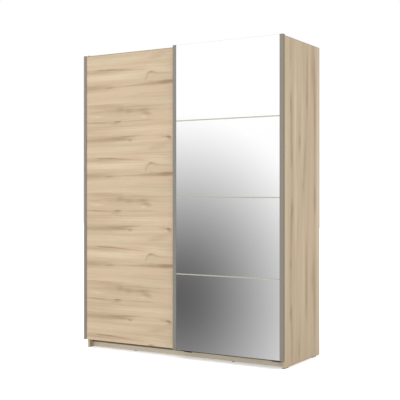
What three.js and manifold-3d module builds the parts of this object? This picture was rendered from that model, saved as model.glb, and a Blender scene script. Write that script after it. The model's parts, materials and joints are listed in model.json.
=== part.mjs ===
// Sliding door wardrobe: a chipboard carcass with two overlay doors that hang from a twin top track.
// Units are millimetres. +Z is up, the doors face -Y, and the origin is on the floor, under the middle of
// the whole object. The left door runs in the rear plane and the right, mirrored door in front of it.
import * as THREE from "three";
import { mergeVertices } from "three/addons/utils/BufferGeometryUtils.js";
import Module from "manifold-3d";

const wasm = await Module();
wasm.setup();

// ---- Driving dimensions ----

const HEIGHT = 2000;
const CARCASS_WIDTH = 1500;
const CARCASS_DEPTH = 520;
const BOARD = 16;
const BACK_SHEET = 3;
const GLIDE_HEIGHT = 5;
const BOTTOM_PANEL_Z = 72;
const TOP_PANEL_Z = 1934;
const PLINTH_SETBACK = 35;
const INNER_SETBACK = 20;

const DOOR_STANDOFF = 50; // from the carcass front to the front face of the front door
const DOOR_PITCH = 24; // from one door plane to the next
const DOOR_OVERHANG = 15; // past the side panel's outer face
const DOOR_OVERLAP = 40;
const DOOR_BOTTOM_Z = 55;
const REAR_DOOR_TOP_Z = 1994;
const PROFILE_WIDTH = 25;
const PROFILE_DEPTH = 21;
const PROFILE_LIP = 2.5;
const PROFILE_SLOT = 13;
const PROFILE_WALL = 3;
const PROFILE_CHAMBER = 5; // both from the outer edge to the chamber, and the chamber's own width
const SCOOP_DEPTH = 3;
const SCOOP_MARGIN = 4;
const SCOOP_STEPS = 6;
const EDGE_BREAK = 1.5; // where a sharp outer edge is taken off at an angle
const INFILL_END_GAP = 2;
const INFILL_SIDE_GAP = 1;
const MIRROR_THICKNESS = 4;
const PANE_COUNT = 4;
const DIVIDER_HEIGHT = 6;
const DIVIDER_PROUD = 0.5;

const STEEL = 2.5;
const FITTING_INSET = 80; // from a door's edge to the middle of its hangers and guides
const HANGER_WIDTH = 76;
const HANGER_PLATE_DROP = 90;
const GUIDE_WIDTH = 40;
const GUIDE_PLATE_TOP_Z = 105;
const GUIDE_PIN_RADIUS = 4;
const GUIDE_PIN_TOP_Z = 67;
const GUIDE_PIN_ROOT = 1; // how far the pin is sunk into the guide's arm

const TRACK_WALL = 2;
const TRACK_END_GAP = 2;
const TRACK_RIB_HEIGHT = 34;
const CHANNEL_PITCH = 42;
const CHANNEL_LEG_INSET = 20; // from a channel's front rib to the front of the hanger's leg in it
const BEAD_WIDTH = 3;
const BEAD_HEIGHT = 2;
const RUNNING_GAP = 0.3;
const GUIDE_TRACK_HEIGHT = 19;
const GUIDE_TRACK_DEPTH = 33;
const GUIDE_FRONT_WALL_HEIGHT = 13;
const GUIDE_SKIRT_HEIGHT = 38; // the rear wall, which hangs down in front of the plinth
const FRONT_GROOVE_INSET = 9;
const REAR_GROOVE_INSET = 24;
const STOP_THICKNESS = 10;
const STOP_HEIGHT = 22;
const STOP_SLOT_WIDTH = 4; // the slot under a track stop, which clears the bead
const STOP_SLOT_GAP = 0.5;
const STOP_GAP = 2; // from a track stop to the wheel beside it

const WHEEL_RADIUS = 14;
const WHEEL_TREAD_RADIUS = 12;
const WHEEL_WIDTH = 8;
const WHEEL_BORE_RADIUS = 3.12;
const RIM_WIDTH = 2;
const RIM_CHAMFER = 0.5;
const AXLE_RADIUS = 3;
const AXLE_HEAD_RADIUS = 5.5;
const AXLE_HEAD = 2.5;
const AXLE_FLANGE = 2;
const SIDE_GAP = 1; // each side of a wheel, along its axle
const LEG_BELOW_AXLE = 8;
const AXLE_SIDES = 24;
const PIN_SIDES = 16;
const HOLE_SIDES = 8;
const ARC_STEPS = 8; // in each half circle of an outline
const HOLE_CUT = 12; // longer than any plate is thick

const HAT_SHELF_Z = 1700;
const RAIL_Z = 1640;
const RAIL_WIDTH = 15;
const RAIL_HEIGHT = 30;
const RAIL_WALL = 1;
const SOCKET_PLATE = 3;
const SOCKET_REACH = 12;
const SOCKET_MARGIN = 8; // from the rail to the edge of the socket's plate
const RAIL_END_GAP = 0.5;
const RIGHT_SHELF_COUNT = 4;
const PIN_HOLE_RADIUS = 2.5;
const PIN_HOLE_DEPTH = 11;
const PARTITION_HOLE_DEPTH = 5;
const PIN_DROP = 3; // from a shelf's underside to the middle of its pin
const PIN_HOLE_PITCH = 32;
const PIN_ROW_INSET = 64;

const SIDE_GLIDE_LENGTH = 57;
const REAR_GLIDE_INSET = 58;
const PLINTH_GLIDE_LENGTH = 16;
const BRACKET_WIDTH = 40;
const BRACKET_LEG = 28;
const BRACKET_SPREAD = 500;
const SCREW_HOLE_RADIUS = 2.5;
const BACK_SHEET_BOTTOM_Z = 30;
const BACK_SHEET_MARGIN = 2;
const BACK_SHEET_SEAM = 1;

// ---- Planes and edges that follow from them ----

const TOTAL_DEPTH = CARCASS_DEPTH + DOOR_STANDOFF;
const REAR_Y = TOTAL_DEPTH / 2;
const FRONT_DOOR_Y = -TOTAL_DEPTH / 2;
const REAR_DOOR_Y = FRONT_DOOR_Y + DOOR_PITCH;
const CARCASS_FRONT_Y = FRONT_DOOR_Y + DOOR_STANDOFF;
const PANEL_REAR_Y = REAR_Y - BACK_SHEET;
const SIDE_X = CARCASS_WIDTH / 2;
const INNER_X = SIDE_X - BOARD;
const DOOR_EDGE_X = SIDE_X + DOOR_OVERHANG;
const DOOR_WIDTH = DOOR_EDGE_X + DOOR_OVERLAP / 2;
const FLOOR_PANEL_Z = BOTTOM_PANEL_Z + BOARD;
const TRACK_Z = TOP_PANEL_Z + BOARD;
const PLINTH_Y = CARCASS_FRONT_Y + PLINTH_SETBACK;
const SHELF_FRONT_Y = CARCASS_FRONT_Y + INNER_SETBACK;

const FRONT_CHANNEL_LEG_Y = CARCASS_FRONT_Y + CHANNEL_LEG_INSET;
const REAR_CHANNEL_LEG_Y = FRONT_CHANNEL_LEG_Y + CHANNEL_PITCH;
const WHEEL_OFFSET = STEEL + SIDE_GAP; // from the front of a hanger's leg to the front of its wheel
const WHEEL_Z = TRACK_Z + TRACK_WALL + BEAD_HEIGHT + RUNNING_GAP + WHEEL_TREAD_RADIUS;
const LOW_ARM_Z = 1990.5; // top of the rear door's hanger arm, under the front door's
const HIGH_ARM_Z = 1998.5; // top of the front door's hanger arm, over the rear door
const LEG_BOTTOM_Z = WHEEL_Z - LEG_BELOW_AXLE;

const FRONT_GROOVE_Y = CARCASS_FRONT_Y + FRONT_GROOVE_INSET;
const REAR_GROOVE_Y = CARCASS_FRONT_Y + REAR_GROOVE_INSET;
const HIGH_GUIDE_Z = 55; // bottom of the rear door's guide arm
const LOW_GUIDE_Z = 49; // bottom of the front door's guide arm, under the rear door's

// ---- Materials, one maker for each finish ----

const finish = (color, roughness, metalness) => () =>
  new THREE.MeshStandardMaterial({ color, roughness, metalness });

const oak = finish(0xd4bea0, 0.55, 0);
const white = finish(0xe8e6e0, 0.6, 0);
const mirror = finish(0xe6e9ea, 0.03, 1);
const aluminium = finish(0x93908a, 0.35, 0.9);
const paleAluminium = finish(0xc2beb0, 0.4, 0.6);
const steel = finish(0x9a9c9e, 0.4, 0.9);
const chrome = finish(0xcfd2d4, 0.12, 1);
const blackPlastic = finish(0x26262a, 0.5, 0);
const brownPlastic = finish(0x4a3d31, 0.5, 0);
const greyPlastic = finish(0x77777a, 0.55, 0);

// ---- Shape helpers ----

const shapeOf = (points) => new THREE.Shape(points.map(([u, v]) => new THREE.Vector2(u, v)));

function piece(name, geometry, material) {
  const mesh = new THREE.Mesh(geometry, material());
  mesh.name = name;
  return mesh;
}

function block(name, [x0, x1], [y0, y1], [z0, z1], material) {
  const mesh = piece(name, new THREE.BoxGeometry(x1 - x0, y1 - y0, z1 - z0), material);
  mesh.position.set((x0 + x1) / 2, (y0 + y1) / 2, (z0 + z1) / 2);
  return mesh;
}

// An outline in X and Y, drawn out along Z.
function alongZ(shape, z0, z1) {
  return new THREE.ExtrudeGeometry(shape, { depth: z1 - z0, bevelEnabled: false }).translate(0, 0, z0);
}

// An outline in Y and Z, drawn out along X.
function alongX(shape, x0, x1) {
  const axes = new THREE.Matrix4().set(0, 0, 1, x0, 1, 0, 0, 0, 0, 1, 0, 0, 0, 0, 0, 1);
  const options = { depth: x1 - x0, bevelEnabled: false, curveSegments: ARC_STEPS };
  return new THREE.ExtrudeGeometry(shape, options).applyMatrix4(axes);
}

function cylinder(radius, length, sides) {
  return new THREE.CylinderGeometry(radius, radius, length, sides);
}

function solidOf(geometry) {
  const bare = geometry.clone();
  bare.deleteAttribute("normal");
  bare.deleteAttribute("uv");
  const merged = mergeVertices(bare, 1e-4);
  const vertProperties = merged.attributes.position.array;
  const triVerts = new Uint32Array(merged.index.array);
  return new wasm.Manifold(new wasm.Mesh({ numProp: 3, vertProperties, triVerts }));
}

function geometryOf(solid) {
  const mesh = solid.getMesh();
  const geometry = new THREE.BufferGeometry();
  geometry.setAttribute("position", new THREE.BufferAttribute(mesh.vertProperties, mesh.numProp));
  geometry.setIndex(new THREE.BufferAttribute(mesh.triVerts, 1));
  geometry.computeVertexNormals();
  return geometry;
}

const cut = (body, tools) =>
  geometryOf(tools.reduce((solid, tool) => solid.subtract(solidOf(tool)), solidOf(body)));

const join = (first, second) => geometryOf(solidOf(first).add(solidOf(second)));

// ---- Carcass ----

const shelfPitch = (TOP_PANEL_Z - FLOOR_PANEL_Z + BOARD) / (RIGHT_SHELF_COUNT + 1);
const rightShelfLevels = Array.from(
  { length: RIGHT_SHELF_COUNT },
  (_, i) => Math.round(FLOOR_PANEL_Z + (i + 1) * shelfPitch) - BOARD,
);

// Blind holes for shelf pins: under each shelf, one pitch below it and one pitch above, in two rows.
function pinHoles(faceX, inward, levels) {
  const rows = [SHELF_FRONT_Y + PIN_ROW_INSET, PANEL_REAR_Y - PIN_ROW_INSET];
  const steps = [-PIN_HOLE_PITCH, 0, PIN_HOLE_PITCH];
  const places = levels.flatMap((level) => steps.map((step) => level - PIN_DROP + step));
  return rows.flatMap((y) =>
    places.map((z) =>
      cylinder(PIN_HOLE_RADIUS, 2 * PIN_HOLE_DEPTH, HOLE_SIDES)
        .rotateZ((inward * Math.PI) / 2)
        .translate(faceX, y, z),
    ),
  );
}

function drilledBoard(name, [x0, x1], [y0, y1], [z0, z1], holes) {
  const board = new THREE.BoxGeometry(x1 - x0, y1 - y0, z1 - z0);
  board.translate((x0 + x1) / 2, (y0 + y1) / 2, (z0 + z1) / 2);
  return piece(name, cut(board, holes), oak);
}

function carcassPanels() {
  const depth = [CARCASS_FRONT_Y, PANEL_REAR_Y];
  const sideHeight = [GLIDE_HEIGHT, HEIGHT];
  const inside = [-INNER_X, INNER_X];
  const half = BOARD / 2;
  const leftHoles = pinHoles(-INNER_X, 1, [HAT_SHELF_Z]);
  const rightHoles = pinHoles(INNER_X, -1, rightShelfLevels);
  const outside = half + PIN_HOLE_DEPTH - PARTITION_HOLE_DEPTH;
  const partitionHoles = [
    ...pinHoles(-outside, 1, [HAT_SHELF_Z]),
    ...pinHoles(outside, -1, rightShelfLevels),
  ];
  return [
    drilledBoard("side_panel_left", [-SIDE_X, -INNER_X], depth, sideHeight, leftHoles),
    drilledBoard("side_panel_right", [INNER_X, SIDE_X], depth, sideHeight, rightHoles),
    block("top_panel", inside, depth, [TOP_PANEL_Z, TRACK_Z], oak),
    block("bottom_panel", inside, depth, [BOTTOM_PANEL_Z, FLOOR_PANEL_Z], oak),
    drilledBoard(
      "centre_partition",
      [-half, half],
      [SHELF_FRONT_Y, PANEL_REAR_Y],
      [FLOOR_PANEL_Z, TOP_PANEL_Z],
      partitionHoles,
    ),
  ];
}

function plinths() {
  const rearPlinthY = PANEL_REAR_Y - PLINTH_SETBACK;
  const inside = [-INNER_X, INNER_X];
  const height = [GLIDE_HEIGHT, BOTTOM_PANEL_Z];
  return [
    block("plinth_front", inside, [PLINTH_Y, PLINTH_Y + BOARD], height, oak),
    block("plinth_rear", inside, [rearPlinthY, rearPlinthY + BOARD], height, oak),
  ];
}

function backSheets() {
  const outer = SIDE_X - BACK_SHEET_MARGIN;
  const seam = BACK_SHEET_SEAM / 2;
  const depth = [PANEL_REAR_Y, REAR_Y];
  const height = [BACK_SHEET_BOTTOM_Z, TRACK_Z - BACK_SHEET_MARGIN];
  return [
    block("back_panel_left", [-outer, -seam], depth, height, white),
    block("back_panel_right", [seam, outer], depth, height, white),
  ];
}

function shelves() {
  const half = BOARD / 2;
  const depth = [SHELF_FRONT_Y, PANEL_REAR_Y];
  const hatHeight = [HAT_SHELF_Z, HAT_SHELF_Z + BOARD];
  const hatShelf = block("hat_shelf", [-INNER_X, -half], depth, hatHeight, oak);
  const right = rightShelfLevels.map((z, i) =>
    block(`right_shelf_${i + 1}`, [half, INNER_X], depth, [z, z + BOARD], oak),
  );
  return [hatShelf, ...right];
}

// A stadium outline, taller than it is wide, round a point in Y and Z.
function ovalPath(path, y, z, width, height) {
  const radius = width / 2;
  const straight = (height - width) / 2;
  path.absarc(y, z + straight, radius, 0, Math.PI, false);
  path.absarc(y, z - straight, radius, Math.PI, 2 * Math.PI, false);
  path.closePath();
  return path;
}

function hangingRail() {
  const y = (SHELF_FRONT_Y + PANEL_REAR_Y) / 2;
  const wall = 2 * RAIL_WALL;
  const tube = ovalPath(new THREE.Shape(), y, RAIL_Z, RAIL_WIDTH, RAIL_HEIGHT);
  tube.holes.push(ovalPath(new THREE.Path(), y, RAIL_Z, RAIL_WIDTH - wall, RAIL_HEIGHT - wall));
  const endGap = SOCKET_PLATE + RAIL_END_GAP;
  return piece("hanging_rail", alongX(tube, -INNER_X + endGap, -BOARD / 2 - endGap), chrome);
}

// A cup that the rail drops into: a wall plate with a rim round the rail's lower half.
function railSocket(name, wallX, inward) {
  const y = (SHELF_FRONT_Y + PANEL_REAR_Y) / 2;
  const straight = (RAIL_HEIGHT - RAIL_WIDTH) / 2;
  const inner = RAIL_WIDTH / 2 + RUNNING_GAP;
  const outer = inner + STEEL;
  const rim = new THREE.Shape();
  rim.moveTo(y + outer, RAIL_Z + straight);
  rim.lineTo(y + inner, RAIL_Z + straight);
  rim.lineTo(y + inner, RAIL_Z - straight);
  rim.absarc(y, RAIL_Z - straight, inner, 2 * Math.PI, Math.PI, true);
  rim.lineTo(y - inner, RAIL_Z + straight);
  rim.lineTo(y - outer, RAIL_Z + straight);
  rim.lineTo(y - outer, RAIL_Z - straight);
  rim.absarc(y, RAIL_Z - straight, outer, Math.PI, 2 * Math.PI, false);
  const margin = 2 * SOCKET_MARGIN;
  const plate = ovalPath(new THREE.Shape(), y, RAIL_Z, RAIL_WIDTH + margin, RAIL_HEIGHT + margin);
  const plateEnds = [wallX, wallX + inward * SOCKET_PLATE].sort((a, b) => a - b);
  const rimEnds = [wallX + inward, wallX + inward * SOCKET_REACH].sort((a, b) => a - b);
  return piece(name, join(alongX(plate, ...plateEnds), alongX(rim, ...rimEnds)), chrome);
}

function hangingSpace() {
  return [
    hangingRail(),
    railSocket("rail_socket_left", -INNER_X, 1),
    railSocket("rail_socket_right", -BOARD / 2, -1),
  ];
}

// ---- Feet and wall brackets ----

// A glide with its long lower edges taken off at an angle, drawn out along X.
function glide(name, [x0, x1], [y0, y1]) {
  const outline = shapeOf([
    [y0 + EDGE_BREAK, 0],
    [y1 - EDGE_BREAK, 0],
    [y1, EDGE_BREAK],
    [y1, GLIDE_HEIGHT],
    [y0, GLIDE_HEIGHT],
    [y0, EDGE_BREAK],
  ]);
  return piece(name, alongX(outline, x0, x1), greyPlastic);
}

function glides() {
  const front = [CARCASS_FRONT_Y, CARCASS_FRONT_Y + SIDE_GLIDE_LENGTH];
  const rear = [REAR_Y - REAR_GLIDE_INSET - SIDE_GLIDE_LENGTH, REAR_Y - REAR_GLIDE_INSET];
  const left = [-SIDE_X, -INNER_X];
  const right = [INNER_X, SIDE_X];
  const plinthGlide = (name, x) =>
    glide(name, [x - PLINTH_GLIDE_LENGTH / 2, x + PLINTH_GLIDE_LENGTH / 2], [PLINTH_Y, PLINTH_Y + BOARD]);
  return [
    glide("glide_front_left", left, front),
    glide("glide_front_right", right, front),
    glide("glide_rear_left", left, rear),
    glide("glide_rear_right", right, rear),
    plinthGlide("plinth_glide_left", -CARCASS_WIDTH / 4),
    plinthGlide("plinth_glide_right", CARCASS_WIDTH / 4),
  ];
}

// An angle that screws down on the top panel and back to the wall, with one screw hole in each leg.
function wallBracket(name, x) {
  const outline = shapeOf([
    [REAR_Y - BRACKET_LEG, TRACK_Z],
    [REAR_Y, TRACK_Z],
    [REAR_Y, TRACK_Z + BRACKET_LEG],
    [REAR_Y - STEEL, TRACK_Z + BRACKET_LEG],
    [REAR_Y - STEEL, TRACK_Z + STEEL],
    [REAR_Y - BRACKET_LEG, TRACK_Z + STEEL],
  ]);
  const angle = alongX(outline, x - BRACKET_WIDTH / 2, x + BRACKET_WIDTH / 2);
  const middle = BRACKET_LEG / 2;
  const hole = () => cylinder(SCREW_HOLE_RADIUS, HOLE_CUT, PIN_SIDES);
  const down = hole().rotateX(Math.PI / 2).translate(x, REAR_Y - middle, TRACK_Z);
  const back = hole().translate(x, REAR_Y, TRACK_Z + middle);
  return piece(name, cut(angle, [down, back]), steel);
}

function wallBrackets() {
  return [
    wallBracket("wall_bracket_left", -BRACKET_SPREAD),
    wallBracket("wall_bracket_right", BRACKET_SPREAD),
  ];
}

// ---- Tracks ----

const wheelMidY = (legY) => legY + WHEEL_OFFSET + WHEEL_WIDTH / 2;

// The twin running track: a floor with three ribs, and a bead in each channel for the wheels.
function topTrack() {
  const floor = TRACK_Z + TRACK_WALL;
  const ribTop = TRACK_Z + TRACK_RIB_HEIGHT;
  const beadTop = floor + BEAD_HEIGHT;
  const points = [[CARCASS_FRONT_Y, TRACK_Z]];
  const rearY = CARCASS_FRONT_Y + 2 * CHANNEL_PITCH + TRACK_WALL;
  points.push([rearY, TRACK_Z], [rearY, ribTop]);
  for (const legY of [REAR_CHANNEL_LEG_Y, FRONT_CHANNEL_LEG_Y]) {
    const bead = wheelMidY(legY);
    const channelFront = legY - CHANNEL_LEG_INSET + TRACK_WALL;
    const channelRear = channelFront + CHANNEL_PITCH - TRACK_WALL;
    points.push([channelRear, ribTop], [channelRear, floor]);
    points.push([bead + BEAD_WIDTH / 2, floor], [bead + BEAD_WIDTH / 2, beadTop]);
    points.push([bead - BEAD_WIDTH / 2, beadTop], [bead - BEAD_WIDTH / 2, floor]);
    points.push([channelFront, floor], [channelFront, ribTop]);
  }
  points.push([CARCASS_FRONT_Y, ribTop]);
  const reach = INNER_X - TRACK_END_GAP;
  return piece("top_track", alongX(shapeOf(points), -reach, reach), aluminium);
}

// A buffer block that straddles the bead and stops the wheel at its end of the channel.
function trackStop(name, legY, side) {
  const middle = wheelMidY(legY);
  const floor = TRACK_Z + TRACK_WALL;
  const slotTop = floor + BEAD_HEIGHT + STOP_SLOT_GAP;
  const top = floor + STOP_HEIGHT;
  const half = STOP_THICKNESS / 2;
  const slot = STOP_SLOT_WIDTH / 2;
  const outline = shapeOf([
    [middle - half, floor],
    [middle - slot, floor],
    [middle - slot, slotTop],
    [middle + slot, slotTop],
    [middle + slot, floor],
    [middle + half, floor],
    [middle + half, top],
    [middle - half, top],
  ]);
  const outer = side * (INNER_X - TRACK_END_GAP);
  const inner = side * (DOOR_EDGE_X - FITTING_INSET + WHEEL_RADIUS + STOP_GAP);
  const ends = [outer, inner].sort((a, b) => a - b);
  return piece(name, alongX(outline, ...ends), blackPlastic);
}

// The lower guide track, two grooves that open downwards. Its front wall is the shortest, so that the rear
// door's guide passes under it above the front door's guide. Its rear wall is a skirt over the plinth.
function bottomTrack() {
  const top = BOTTOM_PANEL_Z;
  const roof = top - TRACK_WALL;
  const low = top - GUIDE_TRACK_HEIGHT;
  const frontLow = top - GUIDE_FRONT_WALL_HEIGHT;
  const skirtLow = top - GUIDE_SKIRT_HEIGHT;
  const y0 = CARCASS_FRONT_Y;
  const y3 = y0 + GUIDE_TRACK_DEPTH;
  const y1 = (FRONT_GROOVE_Y + REAR_GROOVE_Y - TRACK_WALL) / 2;
  const y2 = y1 + TRACK_WALL;
  const outline = shapeOf([
    [y0, top],
    [y0, frontLow],
    [y0 + TRACK_WALL, frontLow],
    [y0 + TRACK_WALL, roof],
    [y1, roof],
    [y1, low],
    [y2, low],
    [y2, roof],
    [y3 - TRACK_WALL, roof],
    [y3 - TRACK_WALL, skirtLow],
    [y3, skirtLow],
    [y3, top],
  ]);
  const reach = INNER_X - TRACK_END_GAP;
  return piece("bottom_track", alongX(outline, -reach, reach), brownPlastic);
}

function tracks() {
  return [
    topTrack(),
    trackStop("track_stop_front_left", FRONT_CHANNEL_LEG_Y, -1),
    trackStop("track_stop_front_right", FRONT_CHANNEL_LEG_Y, 1),
    trackStop("track_stop_rear_left", REAR_CHANNEL_LEG_Y, -1),
    trackStop("track_stop_rear_right", REAR_CHANNEL_LEG_Y, 1),
    bottomTrack(),
  ];
}

// ---- Door fittings ----

// A handle profile seen from above: a slot grips the door board, and the outer edge is scooped for the
// fingers. The chamber between them runs the full height. "outward" is the side that the edge faces.
function handleProfile(name, edgeX, outward, frontY, [z0, z1]) {
  const inwardX = (distance) => edgeX - outward * distance;
  const at = (distance, depth) => [inwardX(distance), frontY + depth];
  const back = PROFILE_DEPTH;
  const scoopEnd = back - SCOOP_MARGIN;
  const scoop = Array.from({ length: SCOOP_STEPS + 1 }, (_, i) => {
    const share = i / SCOOP_STEPS;
    return at(SCOOP_DEPTH * Math.sin(Math.PI * share), scoopEnd + (SCOOP_MARGIN - scoopEnd) * share);
  });
  const slotEnd = PROFILE_WIDTH - PROFILE_SLOT;
  const outline = shapeOf([
    at(EDGE_BREAK, 0),
    at(PROFILE_WIDTH, 0),
    at(PROFILE_WIDTH, PROFILE_LIP),
    at(slotEnd, PROFILE_LIP),
    at(slotEnd, back - PROFILE_LIP),
    at(PROFILE_WIDTH, back - PROFILE_LIP),
    at(PROFILE_WIDTH, back),
    at(EDGE_BREAK, back),
    at(0, back - EDGE_BREAK),
    ...scoop,
    at(0, EDGE_BREAK),
  ]);
  const near = PROFILE_CHAMBER;
  const far = 2 * PROFILE_CHAMBER;
  const chamber = [
    at(near, PROFILE_WALL),
    at(near, back - PROFILE_WALL),
    at(far, back - PROFILE_WALL),
    at(far, PROFILE_WALL),
  ];
  outline.holes.push(new THREE.Path(chamber.map(([x, y]) => new THREE.Vector2(x, y))));
  return piece(name, alongZ(outline, z0, z1), aluminium);
}

// A steel strip from the back of a door, over the top of the track's front rib, and down into its channel.
function hanger(name, x, plateY, armTopZ, legY) {
  const armBottomZ = armTopZ - STEEL;
  const plateBottomZ = armTopZ - HANGER_PLATE_DROP;
  const outline = shapeOf([
    [plateY, plateBottomZ],
    [plateY, armTopZ],
    [legY + STEEL, armTopZ],
    [legY + STEEL, LEG_BOTTOM_Z],
    [legY, LEG_BOTTOM_Z],
    [legY, armBottomZ],
    [plateY + STEEL, armBottomZ],
    [plateY + STEEL, plateBottomZ],
  ]);
  const strip = alongX(outline, x - HANGER_WIDTH / 2, x + HANGER_WIDTH / 2);
  const axleHole = cylinder(AXLE_RADIUS + RUNNING_GAP, HOLE_CUT, PIN_SIDES).translate(x, legY, WHEEL_Z);
  return piece(name, cut(strip, [axleHole]), steel);
}

function lathed(name, profile, x, y, z, material) {
  const points = profile.map(([radius, along]) => new THREE.Vector2(radius, along));
  const mesh = piece(name, new THREE.LatheGeometry(points, AXLE_SIDES), material);
  mesh.position.set(x, y, z);
  return mesh;
}

// A riveted pin: its head bears on the front of the hanger's leg, and its far flange keeps the wheel on.
function axle(name, x, legY) {
  const shankEnd = WHEEL_OFFSET + WHEEL_WIDTH + SIDE_GAP;
  const profile = [
    [0, -AXLE_HEAD],
    [AXLE_HEAD_RADIUS, -AXLE_HEAD],
    [AXLE_HEAD_RADIUS, 0],
    [AXLE_RADIUS, 0],
    [AXLE_RADIUS, shankEnd],
    [AXLE_HEAD_RADIUS, shankEnd],
    [AXLE_HEAD_RADIUS, shankEnd + AXLE_FLANGE],
    [0, shankEnd + AXLE_FLANGE],
  ];
  return lathed(name, profile, x, legY, WHEEL_Z, steel);
}

// A grooved wheel whose tread runs on the track's bead.
function wheel(name, x, legY) {
  const y0 = WHEEL_OFFSET;
  const y1 = y0 + WHEEL_WIDTH;
  const profile = [
    [WHEEL_BORE_RADIUS, y0],
    [WHEEL_RADIUS - RIM_CHAMFER, y0],
    [WHEEL_RADIUS, y0 + RIM_CHAMFER],
    [WHEEL_RADIUS, y0 + RIM_WIDTH - RIM_CHAMFER],
    [WHEEL_TREAD_RADIUS, y0 + RIM_WIDTH],
    [WHEEL_TREAD_RADIUS, y1 - RIM_WIDTH],
    [WHEEL_RADIUS, y1 - RIM_WIDTH + RIM_CHAMFER],
    [WHEEL_RADIUS, y1 - RIM_CHAMFER],
    [WHEEL_RADIUS - RIM_CHAMFER, y1],
    [WHEEL_BORE_RADIUS, y1],
    [WHEEL_BORE_RADIUS, y0],
  ];
  return lathed(name, profile, x, legY, WHEEL_Z, blackPlastic);
}

// A foot bracket on the back of a door, with a pin that runs up into a groove of the lower track.
function bottomGuide(name, x, plateY, armZ, grooveY) {
  const armTop = armZ + STEEL;
  const armEnd = grooveY + GUIDE_PIN_RADIUS + SIDE_GAP;
  const outline = shapeOf([
    [plateY, GUIDE_PLATE_TOP_Z],
    [plateY, armZ],
    [armEnd, armZ],
    [armEnd, armTop],
    [plateY + STEEL, armTop],
    [plateY + STEEL, GUIDE_PLATE_TOP_Z],
  ]);
  const strip = alongX(outline, x - GUIDE_WIDTH / 2, x + GUIDE_WIDTH / 2);
  const pinLength = GUIDE_PIN_TOP_Z - armTop + GUIDE_PIN_ROOT;
  const pin = cylinder(GUIDE_PIN_RADIUS, pinLength, PIN_SIDES)
    .rotateX(Math.PI / 2)
    .translate(x, grooveY, GUIDE_PIN_TOP_Z - pinLength / 2);
  return piece(name, join(strip, pin), blackPlastic);
}

// Where the fittings of each door go: its hangers' arms and legs, and its guides' arms and pins.
const REAR_DOOR_RUN = {
  armTopZ: LOW_ARM_Z,
  legY: FRONT_CHANNEL_LEG_Y,
  guideArmZ: HIGH_GUIDE_Z,
  grooveY: FRONT_GROOVE_Y,
};
const FRONT_DOOR_RUN = {
  armTopZ: HIGH_ARM_Z,
  legY: REAR_CHANNEL_LEG_Y,
  guideArmZ: LOW_GUIDE_Z,
  grooveY: REAR_GROOVE_Y,
};

// Hangers, axles, wheels and guides at both ends of one door.
function doorFittings(door, leftX, boardBackY, { armTopZ, legY, guideArmZ, grooveY }) {
  const ends = { left: leftX + FITTING_INSET, right: leftX + DOOR_WIDTH - FITTING_INSET };
  return Object.entries(ends).flatMap(([end, x]) => [
    hanger(`${door}_hanger_${end}`, x, boardBackY, armTopZ, legY),
    axle(`${door}_axle_${end}`, x, legY),
    wheel(`${door}_wheel_${end}`, x, legY),
    bottomGuide(`${door}_guide_${end}`, x, boardBackY, guideArmZ, grooveY),
  ]);
}

function doorProfiles(door, leftX, frontY, height) {
  return [
    handleProfile(`${door}_profile_left`, leftX, -1, frontY, height),
    handleProfile(`${door}_profile_right`, leftX + DOOR_WIDTH, 1, frontY, height),
  ];
}

// ---- Doors ----

// How far the infill reaches into the slots of its profiles.
const infillSpan = (leftX) => {
  const inset = PROFILE_WIDTH - PROFILE_SLOT + INFILL_SIDE_GAP;
  return [leftX + inset, leftX + DOOR_WIDTH - inset];
};

function leftDoor() {
  const leftX = -DOOR_EDGE_X;
  const height = [DOOR_BOTTOM_Z, REAR_DOOR_TOP_Z];
  const boardFront = REAR_DOOR_Y + PROFILE_LIP;
  const boardBack = boardFront + BOARD;
  const boardHeight = [height[0] + INFILL_END_GAP, height[1] - INFILL_END_GAP];
  return [
    block("left_door_board", infillSpan(leftX), [boardFront, boardBack], boardHeight, oak),
    ...doorProfiles("left_door", leftX, REAR_DOOR_Y, height),
    ...doorFittings("left_door", leftX, boardBack, REAR_DOOR_RUN),
  ];
}

function mirrorPanes([x0, x1], [y0, y1], [z0, z1]) {
  const paneHeight = (z1 - z0 - (PANE_COUNT - 1) * DIVIDER_HEIGHT) / PANE_COUNT;
  const pitch = paneHeight + DIVIDER_HEIGHT;
  const panes = Array.from({ length: PANE_COUNT }, (_, i) => {
    const low = z0 + i * pitch;
    return block(`mirror_pane_${i + 1}`, [x0, x1], [y0, y1], [low, low + paneHeight], mirror);
  });
  const hidden = PROFILE_SLOT - INFILL_SIDE_GAP;
  const visible = [x0 + hidden, x1 - hidden];
  const depth = [y0 - DIVIDER_PROUD, y1];
  const dividers = Array.from({ length: PANE_COUNT - 1 }, (_, i) => {
    const low = z0 + i * pitch + paneHeight;
    return block(`mirror_divider_${i + 1}`, visible, depth, [low, low + DIVIDER_HEIGHT], paleAluminium);
  });
  return [...panes, ...dividers];
}

function rightDoor() {
  const leftX = DOOR_EDGE_X - DOOR_WIDTH;
  const height = [DOOR_BOTTOM_Z, HEIGHT];
  const infillFront = FRONT_DOOR_Y + PROFILE_LIP;
  const mirrorBack = infillFront + MIRROR_THICKNESS;
  const boardBack = infillFront + BOARD;
  const infillHeight = [height[0] + INFILL_END_GAP, height[1] - INFILL_END_GAP];
  const span = infillSpan(leftX);
  return [
    block("right_door_board", span, [mirrorBack, boardBack], infillHeight, oak),
    ...mirrorPanes(span, [infillFront, mirrorBack], infillHeight),
    ...doorProfiles("right_door", leftX, FRONT_DOOR_Y, height),
    ...doorFittings("right_door", leftX, boardBack, FRONT_DOOR_RUN),
  ];
}

// ---- Assembly ----

const wardrobe = new THREE.Group();
const carcass = new THREE.Group();
carcass.add(
  ...carcassPanels(),
  ...plinths(),
  ...backSheets(),
  ...shelves(),
  ...hangingSpace(),
  ...glides(),
  ...wallBrackets(),
  ...tracks(),
);
wardrobe.add(carcass, new THREE.Group().add(...leftDoor()), new THREE.Group().add(...rightDoor()));

export default wardrobe;
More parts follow.
